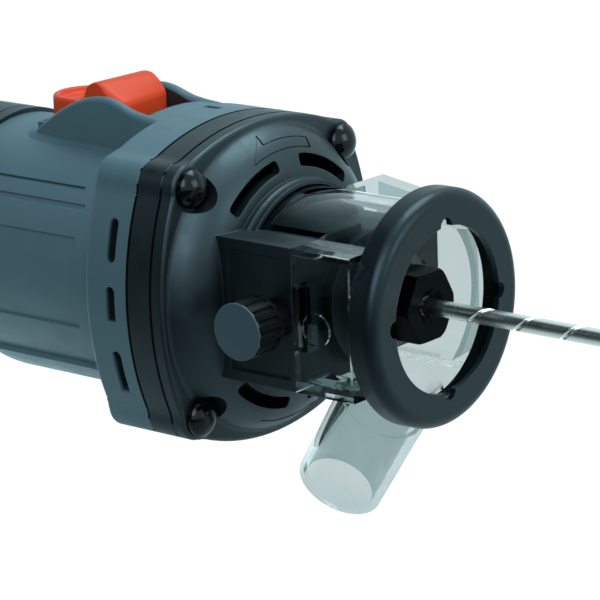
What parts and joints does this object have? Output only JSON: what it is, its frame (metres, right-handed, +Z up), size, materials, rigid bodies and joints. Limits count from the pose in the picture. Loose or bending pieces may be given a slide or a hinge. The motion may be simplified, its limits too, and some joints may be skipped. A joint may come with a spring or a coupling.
{
  "type": "drywall cut out tool",
  "caption": "Corded drywall cut out tool with a straight motor body, slide switch, clear depth guide with dust tube, round foot ring and spiral cutter.",
  "frame": {"origin": "on the spindle axis, at the front face of the foot ring", "axes": "+X forward along the cutter, +Z up through the slide switch, -Y towards the clamp knob"},
  "size_m": [0.3022, 0.0931, 0.1154],
  "materials": {
    "cover_black": "satin black moulded plastic",
    "clear_plastic": "clear polycarbonate",
    "housing_grey": "fine grained slate grey plastic",
    "screw_black": "glossy black",
    "steel": "ground steel",
    "rubber_black": "black rubber",
    "knob_black": "satin black plastic",
    "cap_slate": "satin slate plastic",
    "brass": "brass",
    "switch_orange": "satin orange plastic",
    "inner_plastic": "black glass filled plastic",
    "bit_steel": "bright tool steel",
    "nut_black": "black oxide steel",
    "iron": "stamped sheet stack",
    "copper": "enamelled copper",
    "carbon": "pressed carbon"
  },
  "bodies": {
    "tool": {"motor_housing": "housing_grey", "spacer_plate": "cover_black", "front_cover": "cover_black", "cover_screws": "screw_black", "rear_cover": "cover_black", "rear_screws": "steel", "cable_gland": "rubber_black", "clamp_insert": "brass", "switch_block": "inner_plastic", "nose_bearing": "steel", "front_bearing": "steel", "bearing_retainer": "steel", "rear_bearing": "steel", "bearing_bridge": "inner_plastic", "field_core": "iron", "field_coils": "copper", "brush_holders": "brass", "carbon_brushes": "carbon", "brush_springs": "steel", "brush_caps": "cover_black"},
    "spindle": {"cutter_bit": "bit_steel", "collet": "steel", "spindle_shaft": "steel", "fan": "inner_plastic", "armature_core": "iron", "armature_windings": "copper", "commutator": "copper"},
    "nut": {"collet_nut": "nut_black"},
    "guide": {"foot_ring": "cover_black", "depth_guide": "clear_plastic"},
    "knob": {"clamp_knob": "knob_black", "knob_cap": "cap_slate", "knob_stud": "steel"},
    "switch": {"switch_slider": "switch_orange", "switch_link": "inner_plastic"}
  },
  "joints": [
    {"name": "spindle_spin", "type": "hinge", "parent": "tool", "child": "spindle", "pos_m": [0, 0, 0], "axis": [1, 0, 0], "continuous": true},
    {"name": "nut_turn", "type": "hinge", "parent": "spindle", "child": "nut", "pos_m": [0, 0, 0], "axis": [1, 0, 0], "range_deg": [0, 360]},
    {"name": "depth_slide", "type": "slide", "parent": "tool", "child": "guide", "axis": [1, 0, 0], "range_m": [0, 0.014]},
    {"name": "clamp_turn", "type": "hinge", "parent": "tool", "child": "knob", "pos_m": [-0.0345, -0.04, 0], "axis": [0, -1, 0], "range_deg": [0, 360]},
    {"name": "switch_slide", "type": "slide", "parent": "tool", "child": "switch", "axis": [1, 0, 0], "range_m": [0, 0.006]}
  ]
}
